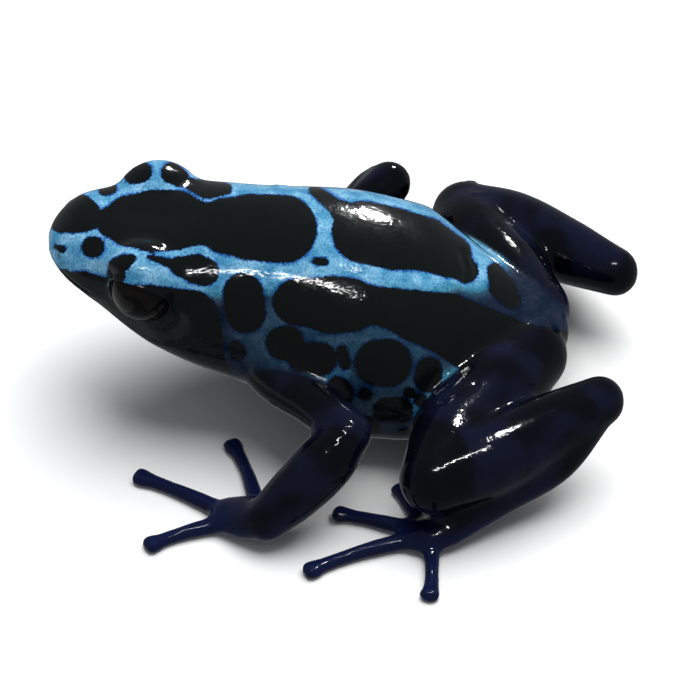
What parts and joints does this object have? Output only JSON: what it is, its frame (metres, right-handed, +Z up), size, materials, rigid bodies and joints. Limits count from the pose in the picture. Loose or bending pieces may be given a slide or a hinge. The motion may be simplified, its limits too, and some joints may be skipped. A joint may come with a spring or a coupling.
{
  "type": "dyeing poison dart frog, still life-size model",
  "caption": "Small frog that sits with its head raised and limbs folded; black cells on a pale blue network, navy limbs.",
  "frame": {"origin": "on the floor, in the middle of the frog's box", "axes": "+X towards the snout, +Y to the frog's left side, +Z up"},
  "size_m": [0.0476, 0.049, 0.0173],
  "materials": {
    "skin": "wet, glossy skin: near-black cells with soft edges on a network of pale sky blue",
    "limb_skin": "wet, glossy blue-black skin of the legs and arms",
    "digit_skin": "wet navy-blue skin of fingers and toes, with paler blue discs",
    "eye": "polished near-black eyeball with a clear wet coat"
  },
  "bodies": {
    "root": {"head": "skin", "torso": "skin", "upper_arm_left": "limb_skin", "forearm_left": "limb_skin", "hand_left": "limb_skin", "thigh_left": "limb_skin", "shank_left": "limb_skin", "tarsus_left": "limb_skin", "foot_left": "limb_skin", "finger_1_left": "digit_skin", "finger_2_left": "digit_skin", "finger_3_left": "digit_skin", "finger_4_left": "digit_skin", "toe_1_left": "digit_skin", "toe_2_left": "digit_skin", "toe_3_left": "digit_skin", "toe_4_left": "digit_skin", "toe_5_left": "digit_skin", "eye_left": "eye", "upper_arm_right": "limb_skin", "forearm_right": "limb_skin", "hand_right": "limb_skin", "thigh_right": "limb_skin", "shank_right": "limb_skin", "tarsus_right": "limb_skin", "foot_right": "limb_skin", "finger_1_right": "digit_skin", "finger_2_right": "digit_skin", "finger_3_right": "digit_skin", "finger_4_right": "digit_skin", "toe_1_right": "digit_skin", "toe_2_right": "digit_skin", "toe_3_right": "digit_skin", "toe_4_right": "digit_skin", "toe_5_right": "digit_skin", "eye_right": "eye"}
  },
  "joints": []
}
